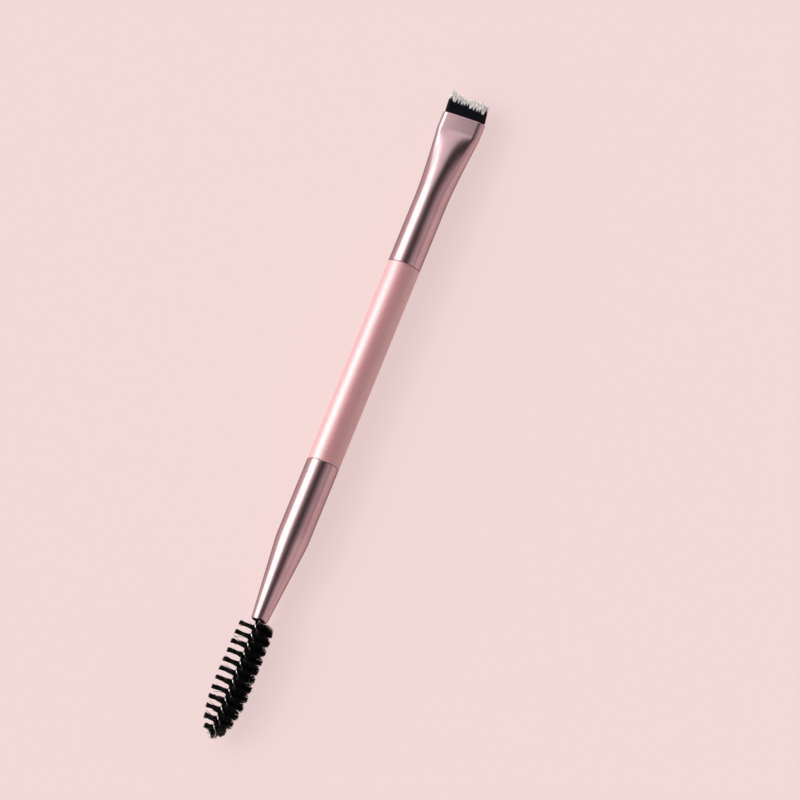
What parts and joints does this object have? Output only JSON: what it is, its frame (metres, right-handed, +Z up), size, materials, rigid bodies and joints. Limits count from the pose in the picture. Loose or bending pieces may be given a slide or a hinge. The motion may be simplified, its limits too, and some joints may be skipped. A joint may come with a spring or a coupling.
{
  "type": "eyebrow brush",
  "caption": "Two-ended eyebrow brush with a flat brow tuft in a pressed ferrule and a spiral bristle spoolie on a twisted wire in a tapered ferrule.",
  "frame": {"origin": "on the surface that the brush lies on, under the middle of its length", "axes": "+X along the brush from the spoolie to the brow tuft, +Y across the wide mouth of the flat ferrule, +Z up, square to its flat faces"},
  "size_m": [0.1594, 0.0104, 0.0086],
  "materials": {
    "handle": "pearly pale pink, gloss",
    "ferrule": "satin anodised, rose",
    "resin": "set resin, dark",
    "tuft": "fine synthetic filaments, black with white tips",
    "wire": "bright drawn steel wire",
    "bristle": "black nylon bristles"
  },
  "bodies": {
    "root": {"handle": "handle", "cone_ferrule": "ferrule", "flat_ferrule": "ferrule", "stem_plug": "resin", "tuft_glue": "resin", "brow_tuft": "tuft", "spoolie_wire": "wire", "spoolie_bristles": "bristle"}
  },
  "joints": []
}
